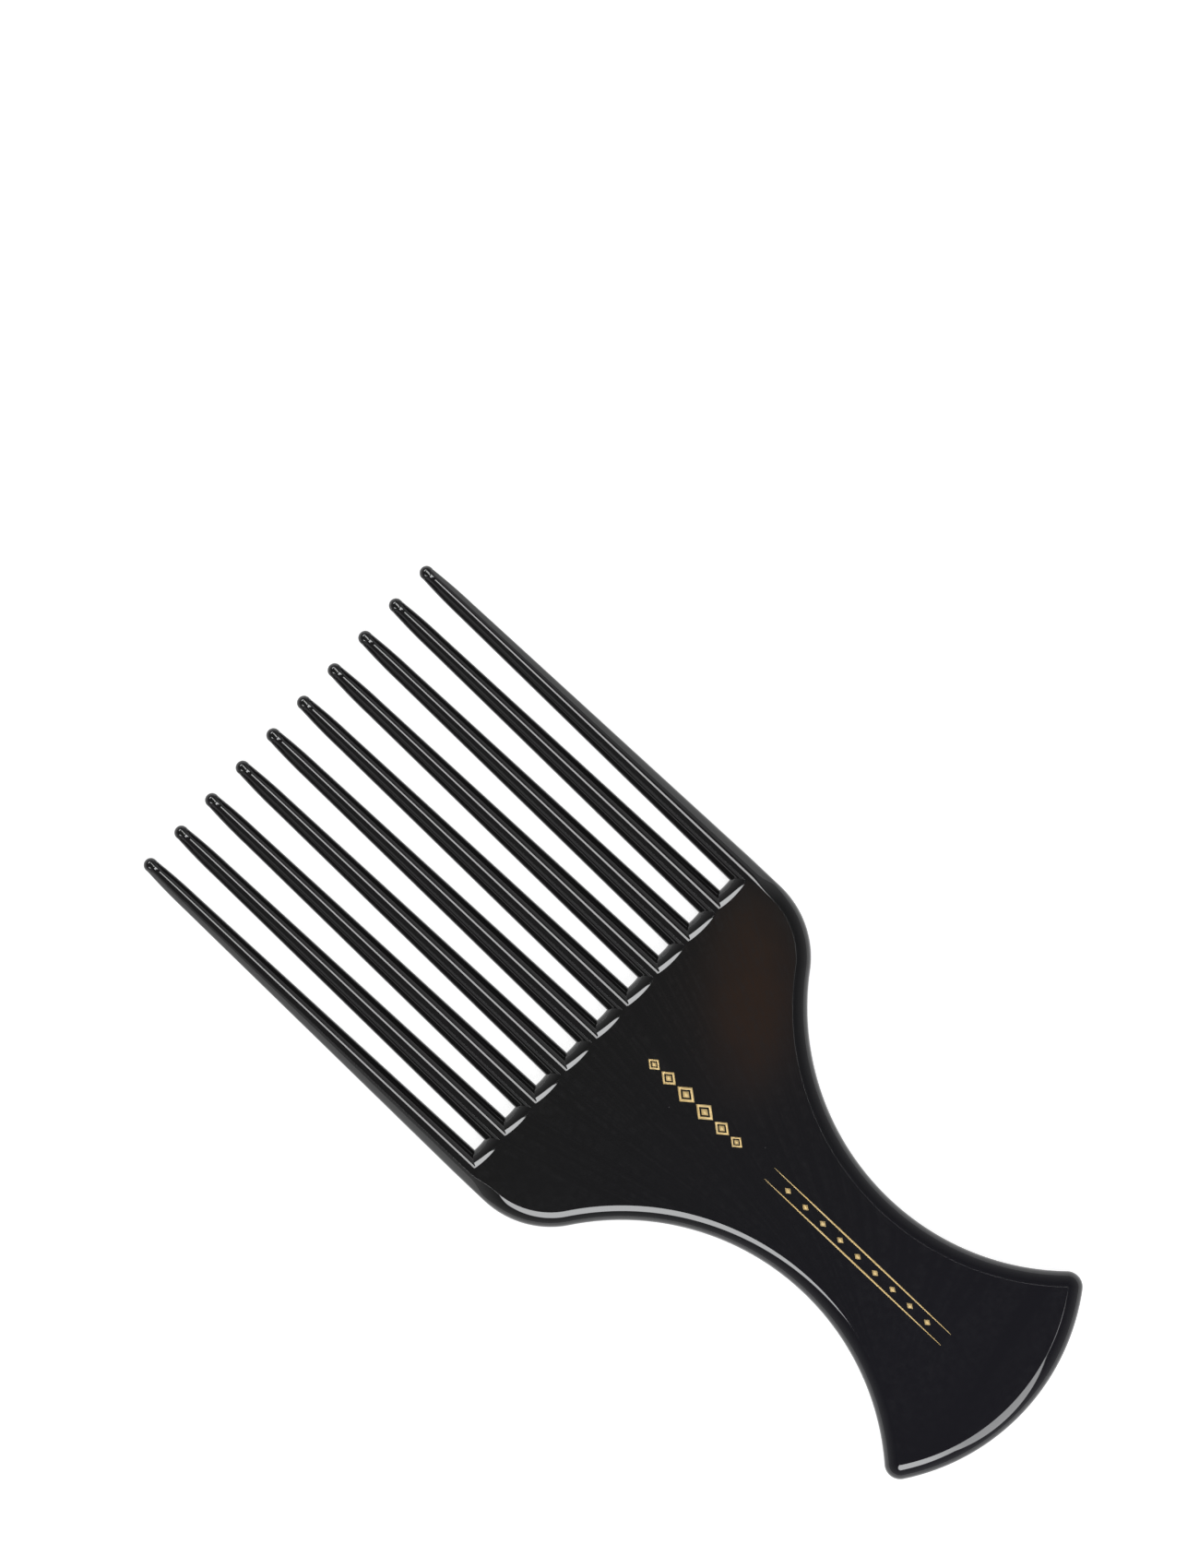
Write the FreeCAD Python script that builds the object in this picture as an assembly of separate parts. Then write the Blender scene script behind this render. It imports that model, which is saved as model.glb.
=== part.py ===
import FreeCAD, Part
import math
import os

# Hair pick of one moulded plastic: ten tapered teeth on a flat handle with a fishtail end.
# All sizes are in millimetres and all angles in degrees.
# +X runs from the handle's end to the tips, +Y across the teeth and +Z up, out of the face.
# The origin lies on the lower face, below the middle of the whole length and width.

# Teeth
tooth_count = 10
tooth_pitch = 7.24
tooth_length = 71.1
tooth_root_width = 4.95
tooth_shank_width = 3.0
tooth_neck_width = 2.2
tooth_flare_length = 8.9
tooth_land = 0.6
tip_diameter = 2.3
tip_back_angle = -45.0
flare_shares = (0.75, 0.5, 0.3, 0.15, 0.0)

# Gaps between the teeth: each ends in a wall with a scooped bevel
gap_wall_depth = 1.9
scoop_radius = 15.0
scoop_land = 1.2

# Handle
plate_thickness = 5.0
rim_side_radius = 1.4
head_side_length = 4.8
shoulder_radius = 15.75
waist_width = 20.7
waist_radius = 42.75
waist_to_end = 39.45
end_radius = 36.75
field_corner_radius = 0.1

# Every cutter runs this far past what it cuts
overrun = 1.0

# The rim is half a tooth wide, so the outer teeth run on into it without a step
rim_width = tooth_root_width / 2
half_thickness = plate_thickness / 2
corner_radius = rim_width + field_corner_radius
last_ridge_y = tooth_pitch * (tooth_count - 1) / 2
head_half_width = last_ridge_y + tooth_root_width / 2

# Places along the length, worked out from the tips to the end
shoulder_y = head_half_width - shoulder_radius
waist_y = waist_width / 2 + waist_radius
arc_reach = shoulder_radius + waist_radius
shoulder_to_waist = math.sqrt(arc_reach ** 2 - (waist_y - shoulder_y) ** 2)
overall_length = tooth_length + gap_wall_depth + head_side_length + shoulder_to_waist + waist_to_end
tip_x = overall_length / 2
gap_root_x = tip_x - tooth_length
butt_x = gap_root_x - gap_wall_depth
shoulder_x = butt_x - head_side_length
waist_x = shoulder_x - shoulder_to_waist
end_x = waist_x - waist_to_end
end_centre_x = end_x + end_radius
ball_x = tip_x - tip_diameter / 2
flare_x = ball_x - tooth_flare_length

up = FreeCAD.Vector(0, 0, 1)
along = FreeCAD.Vector(1, 0, 0)


def turned(centre, radius, angle):
    """The point at a radius and an angle round a centre, on the parting plane."""
    turn = math.radians(angle)
    return centre + FreeCAD.Vector(radius * math.cos(turn), radius * math.sin(turn), 0)


def heading(start, goal):
    """The angle of the line from one point to another, seen from above."""
    return math.degrees(math.atan2(goal.y - start.y, goal.x - start.x))


def middle(x, y):
    """A point on the parting plane, half-way up the thickness."""
    return FreeCAD.Vector(x, y, half_thickness)


def flat_side(width, height, land):
    """Points from an upper crest to the lower one, with an upright land between two bevels.

    Each point is its distance out from the crests and its height over the parting plane.
    """
    return [(0, height), (width, land / 2), (width, -land / 2), (0, -height)]


def round_side(width, height, radius):
    """Points from an upper crest to the lower one, with two bevels that touch a round side.

    Each point is its distance out from the crests and its height over the parting plane.
    """
    reach = width - radius
    tilt = math.atan2(height, reach) - math.asin(radius / math.hypot(reach, height))
    touch_out = reach + radius * math.sin(tilt)
    touch_high = radius * math.cos(tilt)
    return [(0, height), (touch_out, touch_high), (width, 0), (touch_out, -touch_high), (0, -height)]


def lines(points):
    """Straight edges from point to point."""
    return [Part.makeLine(start, goal) for start, goal in zip(points, points[1:])]


def side_edges(points):
    """The bevels and the land or round side through the points of a side."""
    if len(points) == 4:
        return lines(points)
    side = Part.Arc(*points[1:4]).toShape()
    return lines(points[:2]) + [side] + lines(points[3:])


def tooth_corners(x, y, width):
    """The corners of a lozenge across a tooth: two ridges and a narrow upright land each side."""
    share = width / tooth_root_width
    side = flat_side(width / 2, half_thickness * share, tooth_land * share)
    right = [middle(x, y + out) + up * high for out, high in side]
    left = [middle(x, y - out) + up * high for out, high in reversed(side[1:-1])]
    return right + left


def flat_faced(rows):
    """A solid through rows of corners, with flat faces from each row to the next."""
    faces = [Part.Face(Part.makePolygon(row + row[:1])) for row in (rows[0], rows[-1])]
    for row, beyond in zip(rows, rows[1:]):
        for corner in range(len(row)):
            near = [row[corner - 1], row[corner]]
            far = [beyond[corner], beyond[corner - 1]]
            faces.append(Part.Face(Part.makePolygon(near + far + near[:1])))
    return Part.makeSolid(Part.makeShell(faces))


def tooth(y):
    """One tooth: an even root, a straight taper, a flare to the neck and a ball at the tip."""
    rows = [
        tooth_corners(butt_x, y, tooth_root_width),
        tooth_corners(gap_root_x, y, tooth_root_width),
        tooth_corners(flare_x, y, tooth_shank_width),
    ]
    for share in flare_shares:
        width = tooth_neck_width + (tooth_shank_width - tooth_neck_width) * (1 - (1 - share) ** 2)
        rows.append(tooth_corners(ball_x - tooth_flare_length * share, y, width))
    ball = Part.makeSphere(tip_diameter / 2, middle(ball_x, y), along, tip_back_angle)
    return flat_faced(rows).fuse(ball)


def closed_section(points):
    """A side's edges, closed by a line from its lower crest back to the upper one."""
    return Part.Wire(side_edges(points) + lines([points[-1], points[0]]))


class BorderArc:
    """One arc of the handle's border, with the material inside or outside its circle."""

    def __init__(self, centre, radius, inward, start, end):
        self.centre = centre
        self.radius = radius
        self.inward = inward
        self.start = start
        self.end = end

    def mirrored(self):
        """The same arc on the other side of the handle, run the other way."""
        centre = middle(self.centre.x, -self.centre.y)
        return BorderArc(centre, self.radius, self.inward, -self.end, -self.start)

    def inset_edge(self, inset):
        """The arc moved into the material by an inset."""
        radius = self.radius + self.inward * inset
        angles = (self.start, (self.start + self.end) / 2, self.end)
        return Part.Arc(*[turned(self.centre, radius, angle) for angle in angles]).toShape()

    def rim(self):
        """The rim's section turned round the arc's centre."""
        side = round_side(rim_width, half_thickness, rim_side_radius)
        crease = self.radius + self.inward * rim_width
        points = []
        for out, high in side:
            points.append(turned(self.centre, crease - self.inward * out, self.start) + up * high)
        section = Part.Face(closed_section(points))
        return section.revolve(self.centre, up, self.end - self.start)


def corner_centre():
    """The centre of a fishtail corner, which rolls between the waist arc and the end arc."""
    waist = middle(waist_x, waist_y)
    end = middle(end_centre_x, 0)
    waist_reach = waist_radius + corner_radius
    end_reach = end_radius - corner_radius
    apart = waist.distanceToPoint(end)
    ahead = (waist_reach ** 2 - end_reach ** 2 + apart ** 2) / (2 * apart)
    aside = math.sqrt(waist_reach ** 2 - ahead ** 2)
    line = (end - waist).normalize()
    return waist + line * ahead + line.cross(up) * aside


def border_arcs():
    """The seven arcs of the border, from one shoulder round the fishtail to the other."""
    shoulder = middle(shoulder_x, shoulder_y)
    waist = middle(waist_x, waist_y)
    end = middle(end_centre_x, 0)
    corner = corner_centre()
    shoulder_end = heading(shoulder, waist)
    waist_start = shoulder_end - 180
    waist_end = heading(waist, corner)
    corner_start = waist_end + 180
    corner_end = heading(end, corner)
    side = [
        BorderArc(shoulder, shoulder_radius, -1, 90, shoulder_end),
        BorderArc(waist, waist_radius, 1, waist_start, waist_end),
        BorderArc(corner, corner_radius, -1, corner_start, corner_end),
    ]
    end_arc = BorderArc(end, end_radius, -1, corner_end, 360 - corner_end)
    return side + [end_arc] + [arc.mirrored() for arc in reversed(side)]


def field(arcs):
    """The flat middle of the handle, inside the creases, through the whole thickness."""
    border = [arc.inset_edge(rim_width) for arc in arcs]
    field_half_width = head_half_width - rim_width
    corners = [
        middle(shoulder_x, -field_half_width),
        middle(butt_x, -field_half_width),
        middle(butt_x, field_half_width),
        middle(shoulder_x, field_half_width),
    ]
    face = Part.Face(Part.Wire(Part.__sortEdges__(border + lines(corners))))
    face.translate(up * -half_thickness)
    return face.extrude(up * plate_thickness)


def head_section(x, hand, side):
    """A section of the head's straight side, from the crease out to the border."""
    crease_y = head_half_width - rim_width
    return closed_section([middle(x, hand * (crease_y + out)) + up * high for out, high in side])


def head_side(hand):
    """The straight side of the head, where an outer tooth's facet eases into the rim."""
    at_tooth = head_section(butt_x, hand, flat_side(rim_width, half_thickness, tooth_land))
    at_shoulder = head_section(shoulder_x, hand, round_side(rim_width, half_thickness, rim_side_radius))
    return Part.makeLoft([at_tooth, at_shoulder], True, True)


def gap_cutter(y):
    """What is scooped out of one gap's end: a waisted drum, one pitch wide from ridge to ridge."""
    axis_x = butt_x + math.sqrt(scoop_radius ** 2 - (tooth_pitch / 2) ** 2)
    wall_width = scoop_radius - (axis_x - gap_root_x)
    axis = middle(axis_x, y)
    top = half_thickness + overrun
    wall = [
        axis + FreeCAD.Vector(out - scoop_radius, 0, high)
        for out, high in flat_side(wall_width, half_thickness, scoop_land)
    ]
    rest = [
        axis + FreeCAD.Vector(-scoop_radius, 0, -top),
        axis + up * -top,
        axis + up * top,
        axis + FreeCAD.Vector(-scoop_radius, 0, top),
        wall[0],
    ]
    drum = Part.Face(Part.makePolygon(wall + rest)).revolve(axis, up, 360)
    length = scoop_radius + overrun
    corner = axis + FreeCAD.Vector(-length, -tooth_pitch / 2, -top - overrun)
    return drum.common(Part.makeBox(length, tooth_pitch, 2 * (top + overrun), corner))


def handle(teeth):
    """The handle: the field, its rim, and the webs that close the gaps between the teeth."""
    arcs = border_arcs()
    pieces = [arc.rim() for arc in arcs] + [head_side(hand) for hand in (-1, 1)]
    plate = field(arcs).fuse(pieces).removeSplitter()
    web_corner = FreeCAD.Vector(butt_x, -last_ridge_y, 0)
    webs = Part.makeBox(gap_wall_depth, 2 * last_ridge_y, plate_thickness, web_corner).cut(teeth)
    gaps = [tooth_pitch * (index + 1) - tooth_pitch / 2 - last_ridge_y for index in range(tooth_count - 1)]
    cutters = [gap_cutter(y) for y in gaps]
    return plate.fuse(webs).cut(cutters).removeSplitter()


def main():
    os.makedirs("parts", exist_ok=True)
    teeth = [tooth(index * tooth_pitch - last_ridge_y) for index in range(tooth_count)]
    for index, shape in enumerate(teeth):
        shape.exportStep(f"parts/tooth_{index + 1:02d}.step")
    body = handle(teeth)
    body.exportStep("parts/handle.step")
    print("overall length", round(overall_length, 2), "head width", round(2 * head_half_width, 2))
    print("handle: solids", len(body.Solids), "valid", body.isValid(), "volume", round(body.Volume, 1))
    first = teeth[0]
    print("tooth: solids", len(first.Solids), "valid", first.isValid(), "volume", round(first.Volume, 1))


main()
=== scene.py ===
# %% [markdown]
# # A moulded afro pick
# The object is a hair pick in one black plastic: a flat handle with a fishtail end, a broad head, and
# ten tapered teeth with a ridge along the middle and a small ball at the tip. Plastic this black shows
# its shape only in reflections, so every facet, crease and rounding is worked out as a fine numpy grid.
# The CAD part gives the frame, and the new pieces take the places of its nodes.

# %% Load the frame
import math

import bmesh
import bpy
import numpy as np
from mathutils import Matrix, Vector


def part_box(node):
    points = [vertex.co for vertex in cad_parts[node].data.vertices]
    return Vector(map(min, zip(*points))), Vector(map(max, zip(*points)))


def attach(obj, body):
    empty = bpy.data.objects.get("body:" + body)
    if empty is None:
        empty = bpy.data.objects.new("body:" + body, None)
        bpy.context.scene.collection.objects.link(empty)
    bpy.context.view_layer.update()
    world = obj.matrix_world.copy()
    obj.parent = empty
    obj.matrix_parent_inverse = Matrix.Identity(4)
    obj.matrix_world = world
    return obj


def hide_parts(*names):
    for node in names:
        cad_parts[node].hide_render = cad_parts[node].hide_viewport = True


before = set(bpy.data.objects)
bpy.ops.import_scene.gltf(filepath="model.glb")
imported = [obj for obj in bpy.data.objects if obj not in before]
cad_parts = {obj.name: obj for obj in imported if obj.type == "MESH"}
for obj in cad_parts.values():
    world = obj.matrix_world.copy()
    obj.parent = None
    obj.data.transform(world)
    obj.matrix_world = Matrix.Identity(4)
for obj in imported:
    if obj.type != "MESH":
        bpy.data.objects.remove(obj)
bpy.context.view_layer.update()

# %% [markdown]
# ## Sizes
# The boxes of the CAD nodes say where the teeth stand, how wide the head is and how thick the plastic is.
# What a box can't say, such as the radius of a shoulder, is written where it is first used, in millimetres,
# because the whole object is 165 mm long and everything on it is small. The foil on the upper face lies
# inside the CAD box, so the plastic is made thinner than the box by the foil.

# %% Sizes from the frame
mm = 0.001
tooth_names = [f"tooth_{number:02d}" for number in range(1, 11)]
tooth_boxes = [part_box(name) for name in tooth_names]
handle_low, handle_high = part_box("handle")
foil_thickness = 0.02 * mm

ridge_y = np.array([(low.y + high.y) / 2 for low, high in tooth_boxes])
tooth_pitch = ridge_y[1] - ridge_y[0]
root_width = tooth_boxes[0][1].y - tooth_boxes[0][0].y
butt_x = tooth_boxes[0][0].x
tip_x = tooth_boxes[0][1].x
head_half_width = handle_high.y
middle_z = (handle_low.z + handle_high.z) / 2
half_thickness = (handle_high.z - handle_low.z) / 2 - foil_thickness
rim_width = root_width / 2
print("teeth", len(ridge_y), "pitch", tooth_pitch, "rim width", rim_width)

# %% [markdown]
# ## The handle's border
# Seen from above, the border is a chain of arcs that run into each other: a round shoulder, a long hollow
# waist, a tight fishtail corner and a flat arc across the end. A curve object could draw it, but a numpy
# path also gives the direction into the material at every point, and the rim needs that direction.

# %% Border path
shoulder_radius = 15.75 * mm
waist_radius = 42.75 * mm
waist_half_width = 10.35 * mm
end_radius = 36.75 * mm
head_side_length = 4.8 * mm
field_corner_radius = 0.1 * mm
corner_radius = rim_width + field_corner_radius


def heading(start, goal):
    """The angle of the line from one point to another."""
    return math.atan2(goal[1] - start[1], goal[0] - start[0])


def arc(centre, radius, inward, start, end, count):
    """Points on an arc, and the unit vectors from them into the material.

    A point is the centre plus the radius times the cosine and sine of its angle.
    The material lies along that ray where inward is 1, and against it where inward is -1.
    """
    angle = np.linspace(start, end, count)[:, None]
    ray = np.hstack([np.cos(angle), np.sin(angle)])
    return centre + radius * ray, inward * ray


def rolling_centre(first, first_reach, second, second_reach):
    """Where two circles cross, on the left of the line from the second centre to the first."""
    line = second - first
    apart = np.linalg.norm(line)
    ahead = (first_reach ** 2 - second_reach ** 2 + apart ** 2) / (2 * apart)
    aside = math.sqrt(first_reach ** 2 - ahead ** 2)
    line = line / apart
    return first + ahead * line + aside * np.array([line[1], -line[0]])


shoulder_x = butt_x - head_side_length
shoulder = np.array([shoulder_x, head_half_width - shoulder_radius])
waist_y = waist_half_width + waist_radius
shoulder_to_waist = math.sqrt((shoulder_radius + waist_radius) ** 2 - (waist_y - shoulder[1]) ** 2)
waist = np.array([shoulder_x - shoulder_to_waist, waist_y])
end_centre = np.array([handle_low.x + end_radius, 0])
corner = rolling_centre(waist, waist_radius + corner_radius, end_centre, end_radius - corner_radius)
shoulder_end = heading(shoulder, waist)
waist_end = heading(waist, corner)
corner_end = heading(end_centre, corner)

side_x = np.linspace(butt_x, shoulder_x, 13)[:, None]
side_edge = np.hstack([side_x, np.full_like(side_x, head_half_width)])
side_inward = np.tile([0.0, -1.0], (len(side_x), 1))
stretches = [
    (side_edge, side_inward),
    arc(shoulder, shoulder_radius, -1, math.pi / 2, shoulder_end, 48),
    arc(waist, waist_radius, 1, shoulder_end - math.pi, waist_end, 120),
    arc(corner, corner_radius, -1, waist_end + math.pi, corner_end, 32),
    arc(end_centre, end_radius, -1, corner_end, math.pi, 48),
]
half_edge = np.vstack([points if k == 0 else points[1:] for k, (points, _) in enumerate(stretches)])
half_inward = np.vstack([rays if k == 0 else rays[1:] for k, (_, rays) in enumerate(stretches)])
mirror = np.array([1.0, -1.0])
edge = np.vstack([half_edge, half_edge[-2::-1] * mirror])
inward = np.vstack([half_inward, half_inward[-2::-1] * mirror])
print("border points", len(edge), "from", edge[0], "round the end at", half_edge[-1])

# %% [markdown]
# ## The section of a side
# Rim, tooth and gap wall all have a side of the same kind: a crown along the top, an edge, a facet that
# falls away and steepens a little, and a rounding down to the parting plane, where the two halves of the
# mould met and left a hair of flash. A bevel modifier would give one radius everywhere. Four tangent arcs
# give each part a radius of its own, and the radii can change along the border.

# %% Section of four arcs
flash = 0.03 * mm
flash_height = 0.06 * mm
arc_points = (5, 7, 9, 12)
steps = np.concatenate([[0.0]] + [np.linspace(k, k + 1, count)[1:] for k, count in enumerate(arc_points)])


def side_section(width, height, crown_radius, crown_tilt, edge_radius, edge_tilt, side_tilt):
    """How far out and how high a side is, in steps from its crown to the parting plane.

    On each arc the way out grows by the radius times the change in the tilt's sine, and the
    height falls by the radius times the change in its cosine. The crown's and the edge's radii
    are given. The facet's and the side's bring the arcs to the width on the parting plane.
    """
    tilts = [0 * crown_tilt, crown_tilt, edge_tilt, side_tilt, 0 * side_tilt + math.pi / 2]
    spans_out = [np.sin(end) - np.sin(start) for start, end in zip(tilts, tilts[1:])]
    spans_drop = [np.cos(start) - np.cos(end) for start, end in zip(tilts, tilts[1:])]
    out_left = width - flash - crown_radius * spans_out[0] - edge_radius * spans_out[1]
    drop_left = height - crown_radius * spans_drop[0] - edge_radius * spans_drop[1]
    scale = spans_out[2] * spans_drop[3] - spans_out[3] * spans_drop[2]
    facet_radius = (out_left * spans_drop[3] - spans_out[3] * drop_left) / scale
    side_radius = (spans_out[2] * drop_left - spans_drop[2] * out_left) / scale
    radii = [crown_radius, edge_radius, facet_radius, side_radius]
    out = 0.0
    high = height
    for k, radius in enumerate(radii):
        tilt = tilts[k] + (tilts[k + 1] - tilts[k]) * np.clip(steps - k, 0, 1)
        out = out + radius * (np.sin(tilt) - np.sin(tilts[k]))
        high = high - radius * (np.cos(tilts[k]) - np.cos(tilt))
    return out + flash * np.exp(-(high / flash_height) ** 2), high


def both_faces(upper, turn=1):
    """Steps on the upper face, and on to the lower face with the sign given by turn."""
    return np.concatenate([upper, turn * upper[..., -2::-1]], axis=-1)


tooth_shape = (4.2 * mm, math.radians(10), 0.12 * mm, math.radians(40), math.radians(54))
rim_shape = (0.05 * mm, math.radians(6), 0.15 * mm, math.radians(12), math.radians(33))
tooth_out, tooth_high = side_section(rim_width, half_thickness, *tooth_shape)
print("tooth section", len(tooth_out), "steps, from", tooth_out[0], "to", tooth_out[-1])

# %% [markdown]
# ## Meshes from patches
# The handle is one moulding, so its mesh has to be closed, but its rim, scoops and flat faces are grids of
# different kinds. Each is made as a patch. The patches share their edge points, so merging the doubles
# closes the shell, and a count of open edges shows that it worked.

# %% Patches
merge_distance = 0.0005 * mm
sharp_angle = math.radians(35)


def grid_faces(rows, columns, wrap=False):
    """Corner numbers of a grid's quads: each point, its right neighbour and the two below them."""
    last = columns if wrap else columns - 1
    row, column = np.meshgrid(np.arange(rows - 1), np.arange(last), indexing="ij")
    beside = (column + 1) % columns
    corners = [row * columns + column, row * columns + beside,
               (row + 1) * columns + beside, (row + 1) * columns + column]
    return np.stack(corners, axis=-1).reshape(-1, 4)


class Patches:
    """Points, faces and edge wear of a piece, gathered patch by patch."""

    def __init__(self):
        self.points = []
        self.faces = []
        self.wear = []
        self.count = 0

    def add(self, points, faces, wear=None):
        """Adds a patch, with its faces' corner numbers moved past the points before it."""
        points = np.asarray(points).reshape(-1, 3)
        self.points.append(points)
        self.wear.append(np.zeros(len(points)) if wear is None else wear.ravel())
        self.faces.extend((np.asarray(face) + self.count).tolist() for face in faces)
        self.count += len(points)

    def grid(self, points, wear=None, wrap=False):
        """Adds a grid of points as quads."""
        self.add(points, grid_faces(*points.shape[:2], wrap), wear)

    def polygon(self, points):
        """Adds one flat face."""
        self.add(points, [np.arange(len(points))])

    def piece(self, name, material, shell=True):
        """Makes the mesh: doubles merged, a shell's normals outwards, smooth but for sharp edges."""
        mesh = bpy.data.meshes.new(name)
        mesh.from_pydata(np.vstack(self.points).tolist(), [], self.faces)
        layer = mesh.attributes.new("wear", "FLOAT", "POINT")
        layer.data.foreach_set("value", np.concatenate(self.wear).astype(np.float32))
        work = bmesh.new()
        work.from_mesh(mesh)
        bmesh.ops.remove_doubles(work, verts=work.verts, dist=merge_distance)
        if shell:
            bmesh.ops.recalc_face_normals(work, faces=work.faces)
        open_edges = sum(len(line.link_faces) != 2 for line in work.edges)
        work.to_mesh(mesh)
        work.free()
        mesh.shade_smooth()
        mesh.set_sharp_from_angle(angle=sharp_angle)
        mesh.materials.append(material)
        made = bpy.data.objects.new(name, mesh)
        bpy.context.scene.collection.objects.link(made)
        print(name, len(mesh.vertices), "points", len(mesh.polygons), "faces", open_edges, "open edges")
        return made


wear_reach = 0.3 * mm
parting_wear = 0.5


def crest_wear(out, high):
    """Wear on a crest and on the parting plane, each a bell curve of the distance from it."""
    return np.exp(-(out / wear_reach) ** 2) + parting_wear * np.exp(-(high / wear_reach) ** 2)


# %% [markdown]
# ## Shader expressions
# A procedural finish is mostly sums and products of textures. Wrapping a socket in a small class lets the
# sums be written as Python expressions, and every operator adds the Math node that does it.

# %% Socket class


class Wire:
    """One value in a shader. Operators on it add Math nodes."""

    def __init__(self, tree, socket):
        self.tree = tree
        self.socket = socket

    def node(self, kind, settings, inputs, output=0):
        """Adds a node: first its settings, then a value or a link for each input."""
        made = self.tree.nodes.new(kind)
        for name, value in settings.items():
            setattr(made, name, value)
        for name, value in inputs.items():
            if isinstance(value, Wire):
                self.tree.links.new(value.socket, made.inputs[name])
            else:
                made.inputs[name].default_value = value
        return Wire(self.tree, made.outputs[output])

    def math(self, operation, *values):
        """Adds a Math node on these values."""
        return self.node("ShaderNodeMath", {"operation": operation}, dict(enumerate(values)))

    def __add__(self, other):
        return self.math("ADD", self, other)

    def __sub__(self, other):
        return self.math("SUBTRACT", self, other)

    def __rsub__(self, other):
        return self.math("SUBTRACT", other, self)

    def __mul__(self, other):
        return self.math("MULTIPLY", self, other)

    def __truediv__(self, other):
        return self.math("DIVIDE", self, other)

    def __neg__(self):
        return self.math("MULTIPLY", self, -1.0)

    __radd__ = __add__
    __rmul__ = __mul__

    def rise(self, low, high):
        """0 at low, 1 at high, a straight rise between them and level beyond."""
        return self.node("ShaderNodeMapRange", {}, {"Value": self, "From Min": low, "From Max": high})

    def scaled(self, x, y, z):
        """A vector with each part multiplied."""
        return self.node("ShaderNodeVectorMath", {"operation": "MULTIPLY"}, {0: self, 1: (x, y, z)})

    def along(self, direction):
        """How far a vector reaches along a direction."""
        inputs = {0: self, 1: direction}
        return self.node("ShaderNodeVectorMath", {"operation": "DOT_PRODUCT"}, inputs, "Value")

    def noise(self, size, detail=2.0):
        """Noise whose patches are about this size, from 0 to 1."""
        return self.node("ShaderNodeTexNoise", {}, {"Vector": self, "Scale": 1 / size, "Detail": detail})

    def ray(self, kind):
        """1 for rays of a kind, such as those from the camera, and 0 for others."""
        return self.node("ShaderNodeLightPath", {}, {}, kind)

    def blend(self, first, second):
        """The first colour where this value is 0 and the second where it is 1."""
        inputs = {0: self, 6: first, 7: second}
        return self.node("ShaderNodeMix", {"data_type": "RGBA"}, inputs, 2)


def new_material(name):
    """A material, its Principled node, and a wire with the Object coordinates."""
    material = bpy.data.materials.new(name)
    material.use_nodes = True
    tree = material.node_tree
    coordinates = tree.nodes.new("ShaderNodeTexCoord")
    return material, tree.nodes["Principled BSDF"], Wire(tree, coordinates.outputs["Object"])


def feed(surface, **inputs):
    """Links wires to a Principled node's sockets, and sets plain values on them."""
    for name, value in inputs.items():
        socket = surface.inputs[name.replace("_", " ")]
        if isinstance(value, Wire):
            value.tree.links.new(value.socket, socket)
        else:
            socket.default_value = value


# %% [markdown]
# ## Black plastic
# The plastic is nearly black and polished in the mould. Its base colour turns a little bluer towards the
# handle's end, which is a painted bluish reflection. It has a few hairlines along the length where hands
# and hair rub it, faint smudges, some specks of dust, and crests that have lost a little of their gloss. A
# single dark colour would look like a hole in the picture.

# %% Black plastic
head_black = (0.0088, 0.0086, 0.0086, 1)
# The bluer black for the handle's end is a painted bluish reflection.
end_black_painted_reflection = (0.0088, 0.0083, 0.0118, 1)
dust_grey = (0.12, 0.12, 0.125, 1)
hairline_size = 0.15 * mm
hairline_stretch = 0.02
speck_spacing = 2.4 * mm
ripple_height = 0.001 * mm
polish = 0.03


def black_plastic():
    """Near-black with a painted bluish reflection towards the end, with smudges, hairlines, specks and
    dulled crests, and a soft ripple in the gloss.
    """
    material, surface, place = new_material("black_plastic")
    wear = place.node("ShaderNodeAttribute", {"attribute_name": "wear"}, {}, "Fac")
    painted_reflection_to_end = place.along((1, 0, 0)).rise(10 * mm, -60 * mm)
    smudge = place.noise(6 * mm, 4.0).rise(0.45, 0.75)
    rubbed = place.noise(9 * mm).rise(0.5, 0.65)
    hairlines = place.scaled(hairline_stretch, 1, 1).noise(hairline_size).rise(0.7, 0.78) * rubbed
    cells = place.node("ShaderNodeTexVoronoi", {}, {"Vector": place, "Scale": 1 / speck_spacing})
    specks = (1 - cells.rise(0.025, 0.05)) * place.noise(4 * mm).rise(0.55, 0.62)
    dulled = wear * place.noise(0.9 * mm, 3.0).rise(0.35, 0.75)
    # Painted bluish reflection: the colour turns bluer towards the handle's end.
    colour = painted_reflection_to_end.blend(head_black, end_black_painted_reflection)
    colour = (0.25 * specks + 0.015 * hairlines + 0.04 * dulled).blend(colour, dust_grey)
    rough = polish + 0.02 * smudge + 0.03 * hairlines + 0.04 * dulled + 0.25 * specks
    ripple = place.noise(0.7 * mm) * 0.15 + place.noise(9 * mm) * 1.5
    relief = {"Height": ripple, "Strength": 1.0, "Distance": ripple_height}
    bump = place.node("ShaderNodeBump", {}, relief)
    feed(surface, Base_Color=colour, Roughness=rough, Normal=bump)
    feed(surface, IOR=1.6, Coat_Weight=1.0, Coat_Roughness=polish)
    return material


plastic = black_plastic()
print("black plastic nodes", len(plastic.node_tree.nodes))

# %% [markdown]
# ## The handle's rim
# The flat field ends at a fine crease, and from there the rim falls in a curved bevel to the parting plane.
# A sweep of the section along the border makes it. Just behind the teeth, the section changes from the
# steep facet of an outer tooth into the flatter rim, so the ridge of that tooth runs out into the crease
# without a step, and its crown fades first.

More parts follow.
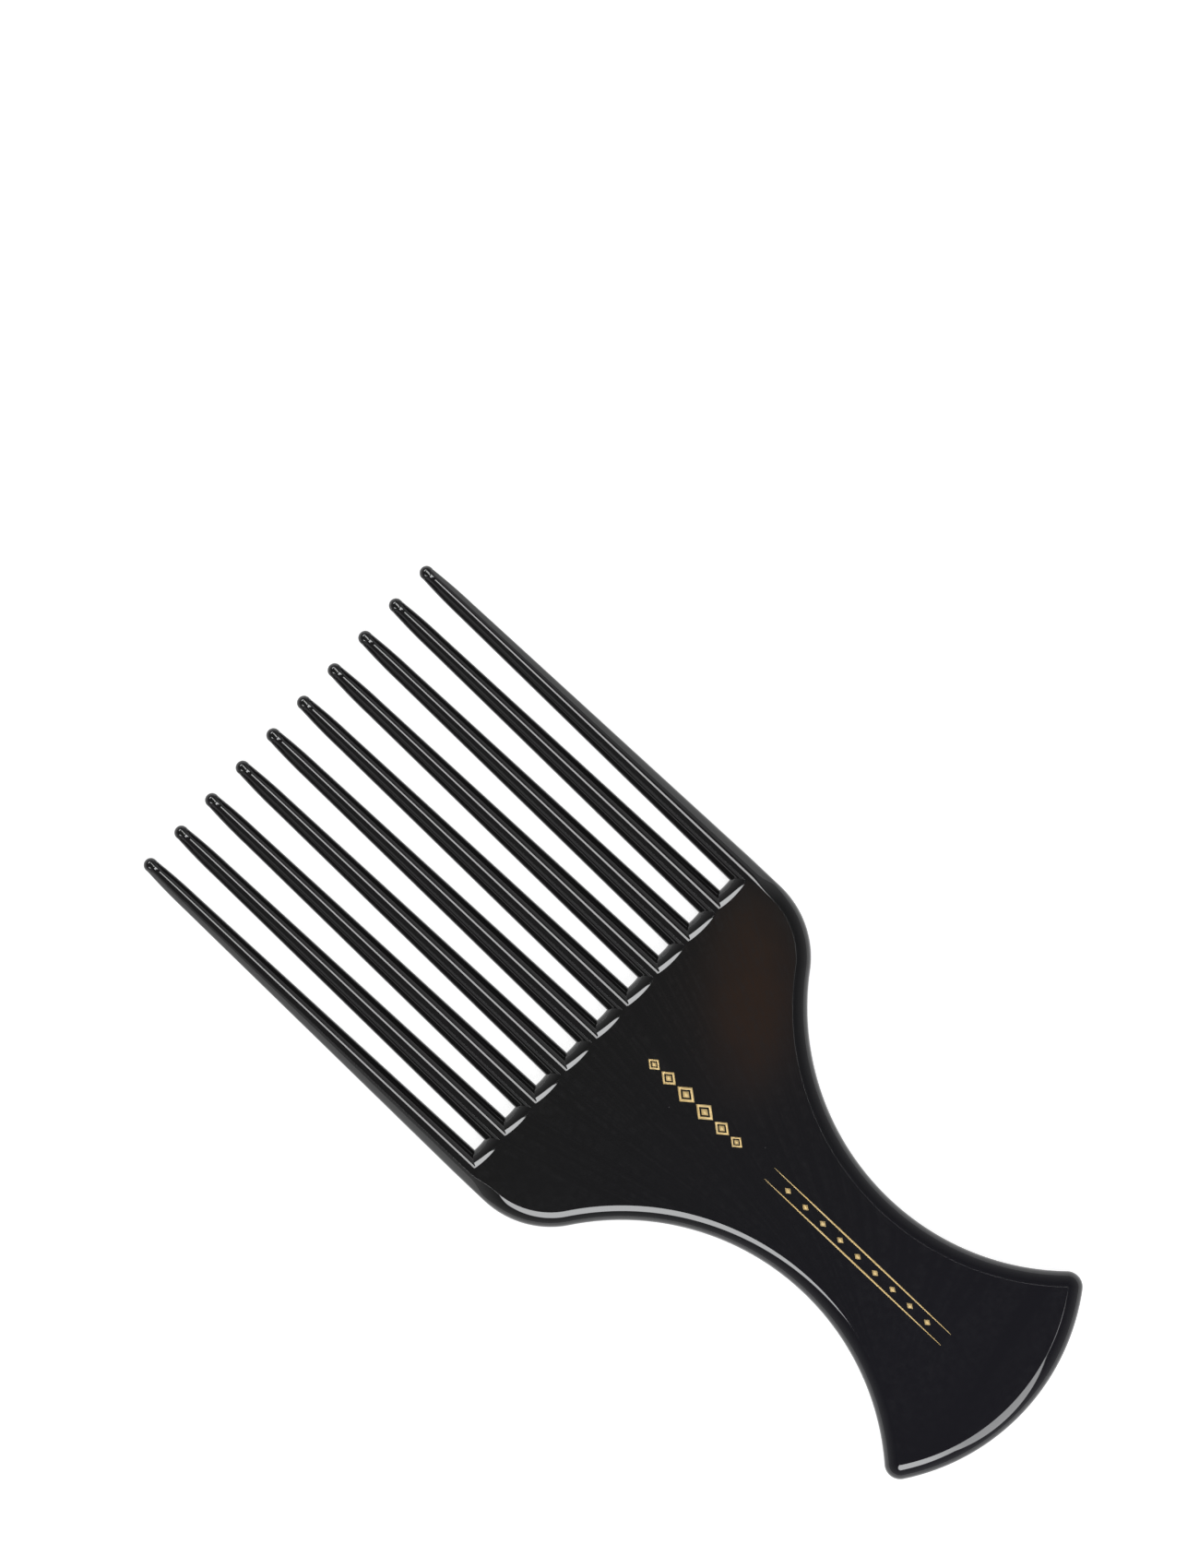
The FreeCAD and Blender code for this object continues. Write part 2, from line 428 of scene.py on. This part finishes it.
# %% Rim
margin = 0.05 * mm
ease_length = 8.5 * mm
crown_fade = 3
handle = Patches()
run = np.concatenate([[0.0], np.cumsum(np.linalg.norm(np.diff(edge, axis=0), axis=1))])[:, None]
from_teeth = np.minimum(run, run[-1] - run)
ease = np.clip(1 - from_teeth / ease_length, 0, 1)
ease = ease * ease * (3 - 2 * ease)
rim_values = [rim + (tooth - rim) * ease for rim, tooth in zip(rim_shape, tooth_shape)]
rim_values[0] = rim_shape[0] + (tooth_shape[0] - rim_shape[0]) * ease ** crown_fade
rim_out, rim_high = side_section(rim_width, half_thickness, *rim_values)
rim_out = np.hstack([margin * (ease - 1), rim_out])
rim_high = np.hstack([np.full_like(ease, half_thickness), rim_high])
rim_out = both_faces(rim_out)
rim_high = both_faces(rim_high, -1)
rim_place = edge[:, None] + inward[:, None] * (rim_width - rim_out)[..., None]
rim = np.dstack([rim_place, middle_z + rim_high])
handle.grid(rim, crest_wear(rim_out, rim_high))
print("rim grid", rim.shape[:2])

# %% [markdown]
# ## The scooped ends of the gaps
# Between two teeth the plastic ends in a wall with a scooped bevel, like a thumb's print in the edge of the
# field. It is the section again, turned round an upright axis out in the gap. At each height it reaches
# sideways as far as the facets of the two teeth, so it meets them in the two valley lines.

# %% Scoops
gap_wall_depth = 1.9 * mm
scoop_radius = 15.0 * mm
scoop_shape = (0.05 * mm, math.radians(6), 0.12 * mm, math.radians(12), math.radians(33))
axis_x = butt_x + math.sqrt(scoop_radius ** 2 - (tooth_pitch / 2) ** 2)
wall_width = scoop_radius - (axis_x - butt_x - gap_wall_depth)
across = np.linspace(-1, 1, 25)[:, None]


def scoop(gap_y):
    """A gap's end: the wall section turned round an upright axis, from tooth facet to tooth facet.

    A point's way along is the axis less the root of its radius squared less its way aside squared.
    """
    out, high = side_section(wall_width, half_thickness, *scoop_shape)
    reach = tooth_pitch / 2 - np.interp(-high, -tooth_high, tooth_out)
    out = np.hstack([margin * (across ** 2 - 1), np.tile(out, (len(across), 1))])
    out = both_faces(out)
    high = both_faces(np.concatenate([[half_thickness], high]), -1)
    reach = both_faces(np.concatenate([[tooth_pitch / 2], reach]))
    aside = across * reach
    along = axis_x - np.sqrt((scoop_radius - out) ** 2 - aside ** 2)
    points = np.stack([along, gap_y + aside, middle_z + np.broadcast_to(high, aside.shape)], axis=-1)
    return points, crest_wear(out, high)


scoops = [scoop(gap_y) for gap_y in (ridge_y[1:] + ridge_y[:-1]) / 2]
for points, wear in scoops:
    handle.grid(points, wear)
print("scoops", len(scoops), "of", scoops[0][0].shape[:2])

# %% [markdown]
# ## The flat faces
# The upper and the lower field are flat, so each is one polygon: along the crease of the rim and back
# along the scoops. Behind each tooth there is a lozenge where the tooth runs on into the head, and the
# webs between the teeth have a flank on each side. These faces are hidden, and they close the shell.

# %% Fields, flanks and tooth seats


def on_butt(points):
    """The same points, moved along to the plane where the teeth start."""
    moved = points.copy()
    moved[..., 0] = butt_x
    return moved


for column in (0, -1):
    front = np.vstack([points[:, column] for points, _ in scoops])
    handle.polygon(np.vstack([rim[:, column], front]))
for points, _ in scoops:
    for row in (0, -1):
        handle.grid(np.stack([points[row], on_butt(points[row])]))
lower_sides = [rim[-1]] + [on_butt(points[-1]) for points, _ in scoops]
upper_sides = [on_butt(points[0]) for points, _ in scoops] + [rim[0]]
for lower, upper in zip(lower_sides, upper_sides):
    handle.polygon(np.vstack([lower, upper[::-1]]))
handle_piece = handle.piece("handle_moulding", plastic)
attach(handle_piece, "root")
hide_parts("handle")

# %% [markdown]
# ## The teeth
# A tooth is a lozenge in section, with a narrow crown along its ridge above and below. It tapers evenly,
# then flares down to a ball that can't scratch the scalp. The ring of the section is carried along the
# tooth, and near the tip each point stands where the larger of shaft and ball puts it.

# %% Teeth
shank_width = 3.0 * mm
neck_width = 2.2 * mm
flare_length = 8.9 * mm
ball_radius = 1.15 * mm
dome_height = 1.07 * mm
dome_radius = 3.5 * mm
dome_steepest = 0.2
dip_depth = 0.09
dip_start = 1.5 * mm
dip_length = 1.0 * mm
neck_blend = 0.06 * mm
gap_root_x = butt_x + gap_wall_depth
ball_x = tip_x - ball_radius
flare_x = ball_x - flare_length
ball_back = -62
ball_front = 89.5
ball_turns = np.radians(np.linspace(ball_back, ball_front, 26))
stations = np.concatenate([
    np.linspace(butt_x, gap_root_x, 3),
    np.linspace(gap_root_x, flare_x, 28)[1:],
    np.linspace(flare_x, ball_x + ball_radius * math.sin(ball_turns[0]), 20)[1:],
    ball_x + ball_radius * np.sin(ball_turns[1:]),
])[:, None]


def tooth_width(x):
    """The width along a tooth: even at the root, a straight taper, then a curve that falls to the neck."""
    taper = np.interp(x, [gap_root_x, flare_x], [root_width, shank_width])
    left = np.clip((ball_x - x) / flare_length, 0, 1)
    flare = neck_width + (shank_width - neck_width) * (1 - (1 - left) ** 2)
    return np.where(x < flare_x, taper, flare)


def larger(first, second, soft):
    """The larger of two values, with the corner between them rounded."""
    return (first + second + np.sqrt((first - second) ** 2 + soft ** 2)) / 2


def tooth_grid(y):
    """Rings along a tooth. A point's distance from the axis is the larger of the shaft's and the ball's.

    The ball's is its radius times the root of 1 less the square of the share along it, cut down
    to a flatter dome at the top and bottom. Behind the ball the shaft's crests sink on a smooth step.
    """
    side_out = both_faces(tooth_out)
    side_high = both_faces(tooth_high, -1)
    ring_out = np.concatenate([side_out, -side_out[-2:0:-1]])
    ring_high = np.concatenate([side_high, side_high[-2:0:-1]])
    distance = np.hypot(ring_out, ring_high)
    along_ball = np.clip(np.abs(stations - ball_x) / ball_radius, 0, 1)
    ball = ball_radius * np.sqrt(1 - along_ball ** 2)
    from_top = (stations - ball_x) ** 2 + (ball * ring_out / distance) ** 2
    upright = np.maximum(np.abs(ring_high) / distance, dome_steepest)
    ball = np.minimum(ball, (dome_height - from_top / (2 * dome_radius)) / upright)
    past = np.clip((stations - ball_x) / ball_radius, 0, 1)
    sunk = np.clip((stations - ball_x + dip_start) / dip_length, 0, 1)
    sunk = dip_depth * sunk * sunk * (3 - 2 * sunk) * (ring_high / distance) ** 2
    shaft = distance * tooth_width(stations) / root_width * np.sqrt(1 - past ** 2) * (1 - sunk)
    near_tip = stations > flare_x
    reach = np.where(near_tip, larger(shaft, ball, neck_blend * near_tip), shaft)
    points = np.stack([
        np.broadcast_to(stations, reach.shape),
        y + reach * ring_out / distance,
        middle_z + reach * ring_high / distance,
    ], axis=-1)
    return points, np.broadcast_to(crest_wear(ring_out, ring_high), reach.shape)


for name, y in zip(tooth_names, ridge_y):
    tooth = Patches()
    points, wear = tooth_grid(y)
    tooth.grid(points, wear, wrap=True)
    tooth.polygon(points[0])
    tooth.polygon(points[-1])
    tooth_piece = tooth.piece(name + "_moulding", plastic)
    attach(tooth_piece, "root")
    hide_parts(name)

# %% [markdown]
# ## Gold foil
# Picks like this are often hot-stamped in gold foil. Foil is a thin, slightly grainy metal on a lacquer, so
# it shines less than solid metal. Two golds mixed by a fine noise, a slow change over the length and a
# middling metallic value give that look, where a plain yellow would look like paint.

# %% Gold foil
deep_gold = (0.68, 0.46, 0.16, 1)
bright_gold = (0.95, 0.69, 0.31, 1)
dull_gold = (0.85, 0.64, 0.31, 1)


def gold_foil():
    """Pale gold with a fine grain, and broad patches that are a little duller."""
    material, surface, place = new_material("gold_foil")
    grain = place.noise(0.25 * mm, 4.0).rise(0.3, 0.7)
    cloud = place.noise(5 * mm).rise(0.3, 0.7)
    colour = grain.blend(deep_gold, bright_gold)
    colour = cloud.blend(colour, dull_gold)
    feed(surface, Base_Color=colour, Roughness=0.38 + 0.2 * grain, Metallic=0.35)
    return material


foil_gold = gold_foil()
print("gold foil nodes", len(foil_gold.node_tree.nodes))

# %% [markdown]
# ## The stamped ornament
# The ornament is a chain of lozenges on the head, and two fine rules with small lozenges between them along
# the handle. A texture could draw it, but a sheet of real thickness keeps crisp edges at any distance. Each
# shape is a ring or a strip of flat quads, and a Solidify modifier gives the sheet its thickness downwards.

# %% Foil ornament
foil_z = middle_z + half_thickness + foil_thickness
swell_power = 0.6
foil = Patches()


def lozenge(x, length, width, share):
    """A lozenge ring: its corners, and the same corners drawn in to a share of the size."""
    corners = np.array([[length, 0], [0, width], [-length, 0], [0, -width]]) / 2
    place = np.stack([corners, corners * share]) + np.array([x, 0])
    return np.dstack([place, np.full(place.shape[:2], foil_z)])


def rule(start, end, y, half_width):
    """A strip from start to end whose half-width swells as a power of the sine of the way along."""
    way = np.linspace(0.02, 0.98, 60)
    swell = half_width * np.sin(math.pi * way) ** swell_power
    x = start + (end - start) * way
    z = np.full_like(x, foil_z)
    return np.stack([np.stack([x, y + side * swell, z], axis=-1) for side in (1, -1)])


ring_width_share = 0.8
ring_hole_share = 0.66
heart_length_share = 0.42
heart_width_share = 0.34
rule_start = -25 * mm
rule_end = -66 * mm
rule_aside = 1.2 * mm
rule_half_width = 0.15 * mm
bead_length = 1.4 * mm
bead_width = 1.0 * mm
chain_start = 1.5 * mm
chain_gap = 0.35 * mm
chain_lengths = np.array([2.6, 3.2, 3.8, 3.8, 3.2, 2.6]) * mm
chain_places = chain_start - np.cumsum(chain_lengths + chain_gap) + chain_lengths / 2
for x, length in zip(chain_places, chain_lengths):
    foil.grid(lozenge(x, length, ring_width_share * length, ring_hole_share), wrap=True)
    foil.polygon(lozenge(x, heart_length_share * length, heart_width_share * length, 0)[0])
for y in (-rule_aside, rule_aside):
    foil.grid(rule(rule_start, rule_end, y, rule_half_width))
for x in np.linspace(-30.0, -61.0, 9) * mm:
    foil.polygon(lozenge(x, bead_length, bead_width, 0)[0])
foil_piece = foil.piece("foil_ornament", foil_gold, shell=False)
sheet = foil_piece.modifiers.new("sheet", "SOLIDIFY")
sheet.thickness = foil_thickness
sheet.offset = -1
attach(foil_piece, "root")

# %% [markdown]
# ## The camera
# The picture is taken from straight above, with the pick lying across it at a slant. A long lens far away
# keeps the teeth parallel. The scale of the picture, in metres for each of its points, gives the distance.

# %% Camera
picture_height = 1700
picture_scale = 0.1496 * mm
picture_turn = math.radians(223.36)
picture_centre = Vector((37.46, -26.95, 0)) * mm
camera_lens = 250.0
camera_sensor = 36.0

camera_data = bpy.data.cameras.new("camera")
camera_data.lens = camera_lens
camera_data.sensor_width = camera_sensor
camera = bpy.data.objects.new("camera", camera_data)
camera_distance = picture_height * picture_scale * camera_lens / camera_sensor
camera.location = picture_centre + Vector((0, 0, middle_z + camera_distance))
camera.rotation_euler = (0, 0, picture_turn)
camera_data.clip_end = 2 * camera_distance
bpy.context.scene.collection.objects.link(camera)
bpy.context.scene.camera = camera
picture_right = Vector((math.cos(picture_turn), math.sin(picture_turn), 0))
picture_up = Vector((-math.sin(picture_turn), math.cos(picture_turn), 0))
print("camera", round(camera_distance, 3), "m above the pick")

# %% [markdown]
# ## The table
# The pick lies on a white table that is lit from below as product tables are, so its shadow is faint. The
# table's own glow is shown only to the camera and to reflections, and adds no light to the pick.

# %% Table
table_half = 3.0
table_glow = 0.85
mirrored_share = 0.3


def white_table():
    """White, lit by the lamps, with a glow that only the camera and reflections see."""
    material, surface, place = new_material("white_table")
    grain = place.noise(60 * mm).rise(0.2, 0.8)
    mirrored = place.ray("Is Glossy Ray") + place.ray("Is Transmission Ray")
    seen = place.ray("Is Camera Ray") + mirrored_share * mirrored
    colour = grain.blend((0.35, 0.35, 0.35, 1), (0.37, 0.37, 0.37, 1))
    glow = (table_glow * seen).blend((0, 0, 0, 1), (1, 1, 1, 1))
    feed(surface, Base_Color=colour, Roughness=0.9, Emission_Color=glow, Emission_Strength=1.0)
    return material


table = Patches()
table.polygon(np.array([[-1, -1, 0], [1, -1, 0], [1, 1, 0], [-1, 1, 0]]) * table_half)
floor = table.piece("floor", white_table(), shell=False)

# %% [markdown]
# ## The strip lamp
# A strip light hangs parallel to the teeth, a little to one side of straight above. On a flat face it can't
# be seen, but along the crown of each ridge it shows as one fine bright line, and on each ball as a spot.

# %% Strip lamp
strip_tilt = math.radians(10)
strip_distance = 1.2
strip_length = 0.6
strip_width = 0.18
strip_radiance = 4.2

strip_way = Vector((0, -math.sin(strip_tilt), math.cos(strip_tilt)))
strip_data = bpy.data.lights.new("strip_lamp", "AREA")
strip_data.shape = "RECTANGLE"
strip_data.size = strip_length
strip_data.size_y = strip_width
strip_data.energy = strip_radiance * math.pi * strip_length * strip_width
strip_lamp = bpy.data.objects.new("strip_lamp", strip_data)
strip_lamp.location = strip_way * strip_distance
strip_lamp.rotation_mode = "QUATERNION"
strip_lamp.rotation_quaternion = strip_way.to_track_quat("Z", "Y")
bpy.context.scene.collection.objects.link(strip_lamp)
print("strip lamp", round(strip_data.energy, 2), "W")

# %% [markdown]
# ## The softboxes and the studio
# What black gloss shows is the studio round it, so two large softboxes are painted on the world by
# direction. One hangs in front and shows as the pale bands along the rim. The other hangs beyond the
# teeth and shows in the scooped ends of the gaps. Their upper edges are level, and their lower edges are
# curves, so the bands swell and taper. The rest of the studio is dim above and paler near the table, with
# one warm patch above the head. Area lamps could do it too, but they can't have curved edges.

# %% Directions in the studio
world = bpy.data.worlds.new("studio")
world.use_nodes = True
bpy.context.scene.world = world
studio = world.node_tree
way = Wire(studio, studio.nodes.new("ShaderNodeTexCoord").outputs["Generated"])
to_right = way.along(picture_right)
to_up = way.along(picture_up)
upward = way.along((0, 0, 1))
front_turn = way.math("ARCTAN2", to_right, -to_up)
back_turn = way.math("ARCTAN2", -to_right, to_up)
print("studio directions", len(studio.nodes), "nodes")

# %% Softboxes
softbox_top = 0.925
softbox_blur = 0.02
front_radiance = 4.6
back_radiance = 5.3
shoulder_band = (math.radians(4), math.radians(54), 0.6, 0.32)
end_band = (math.radians(40), math.radians(16.7), 0.45, 0.32)
crease_line = (math.radians(65), math.radians(20), 0.86, 0.07)
end_dimming = 0.35
back_centre = math.radians(30)
back_half = math.radians(26)
back_edge = 1.005
back_sag = 0.36


def softbox(low):
    """1 between a lower edge and the level upper edge, both as heights of a unit vector."""
    over = upward.rise(low, low + softbox_blur)
    under = 1 - upward.rise(softbox_top - softbox_blur, softbox_top)
    return over * under


def sagging_edge(centre, half, lowest, climb):
    """A lower edge: lowest at its centre, and higher by the climb times the square of the share aside."""
    aside = (front_turn - centre) / half
    return lowest + climb * aside * aside


front_low = way.math("MINIMUM", sagging_edge(*shoulder_band), sagging_edge(*end_band))
front_box = softbox(way.math("MINIMUM", front_low, sagging_edge(*crease_line)))
front_box = front_box * (1 - end_dimming * front_turn.rise(math.radians(20), math.radians(30)))
back_aside = (back_turn - back_centre) / back_half
back_room = way.math("MAXIMUM", 1 - back_aside * back_aside, 0.0)
back_box = softbox(back_edge - back_sag * way.math("SQRT", back_room))
softboxes = front_radiance * front_box + back_radiance * back_box
print("softboxes", len(studio.nodes), "nodes")

# %% Studio
warm_right = (to_right - 0.014) / 0.0035
warm_up = (to_up + 0.019) / 0.009
warm_radiance = 0.18
warm = 1 - (warm_right * warm_right + warm_up * warm_up).rise(0.5, 1.6)
sky = 0.3 - 0.25 * upward.rise(0.0, 0.8)
light = sky + softboxes + warm_radiance * warm
tint = warm.blend((0.98, 0.99, 1, 1), (1, 0.5, 0.25, 1))
seen = way.ray("Is Camera Ray") + way.ray("Is Transmission Ray")
background = studio.nodes["Background"]
studio.links.new(seen.blend(tint, (1, 1, 1, 1)).socket, background.inputs["Color"])
studio.links.new((light * (1 - seen) + seen).socket, background.inputs["Strength"])
print("studio", len(studio.nodes), "nodes")

# %% [markdown]
# ## Colours as written
# The Standard view shows a colour as it is written, with no film curve. The looks may not make the
# object larger.

# %% View
bpy.context.scene.view_settings.view_transform = "Standard"
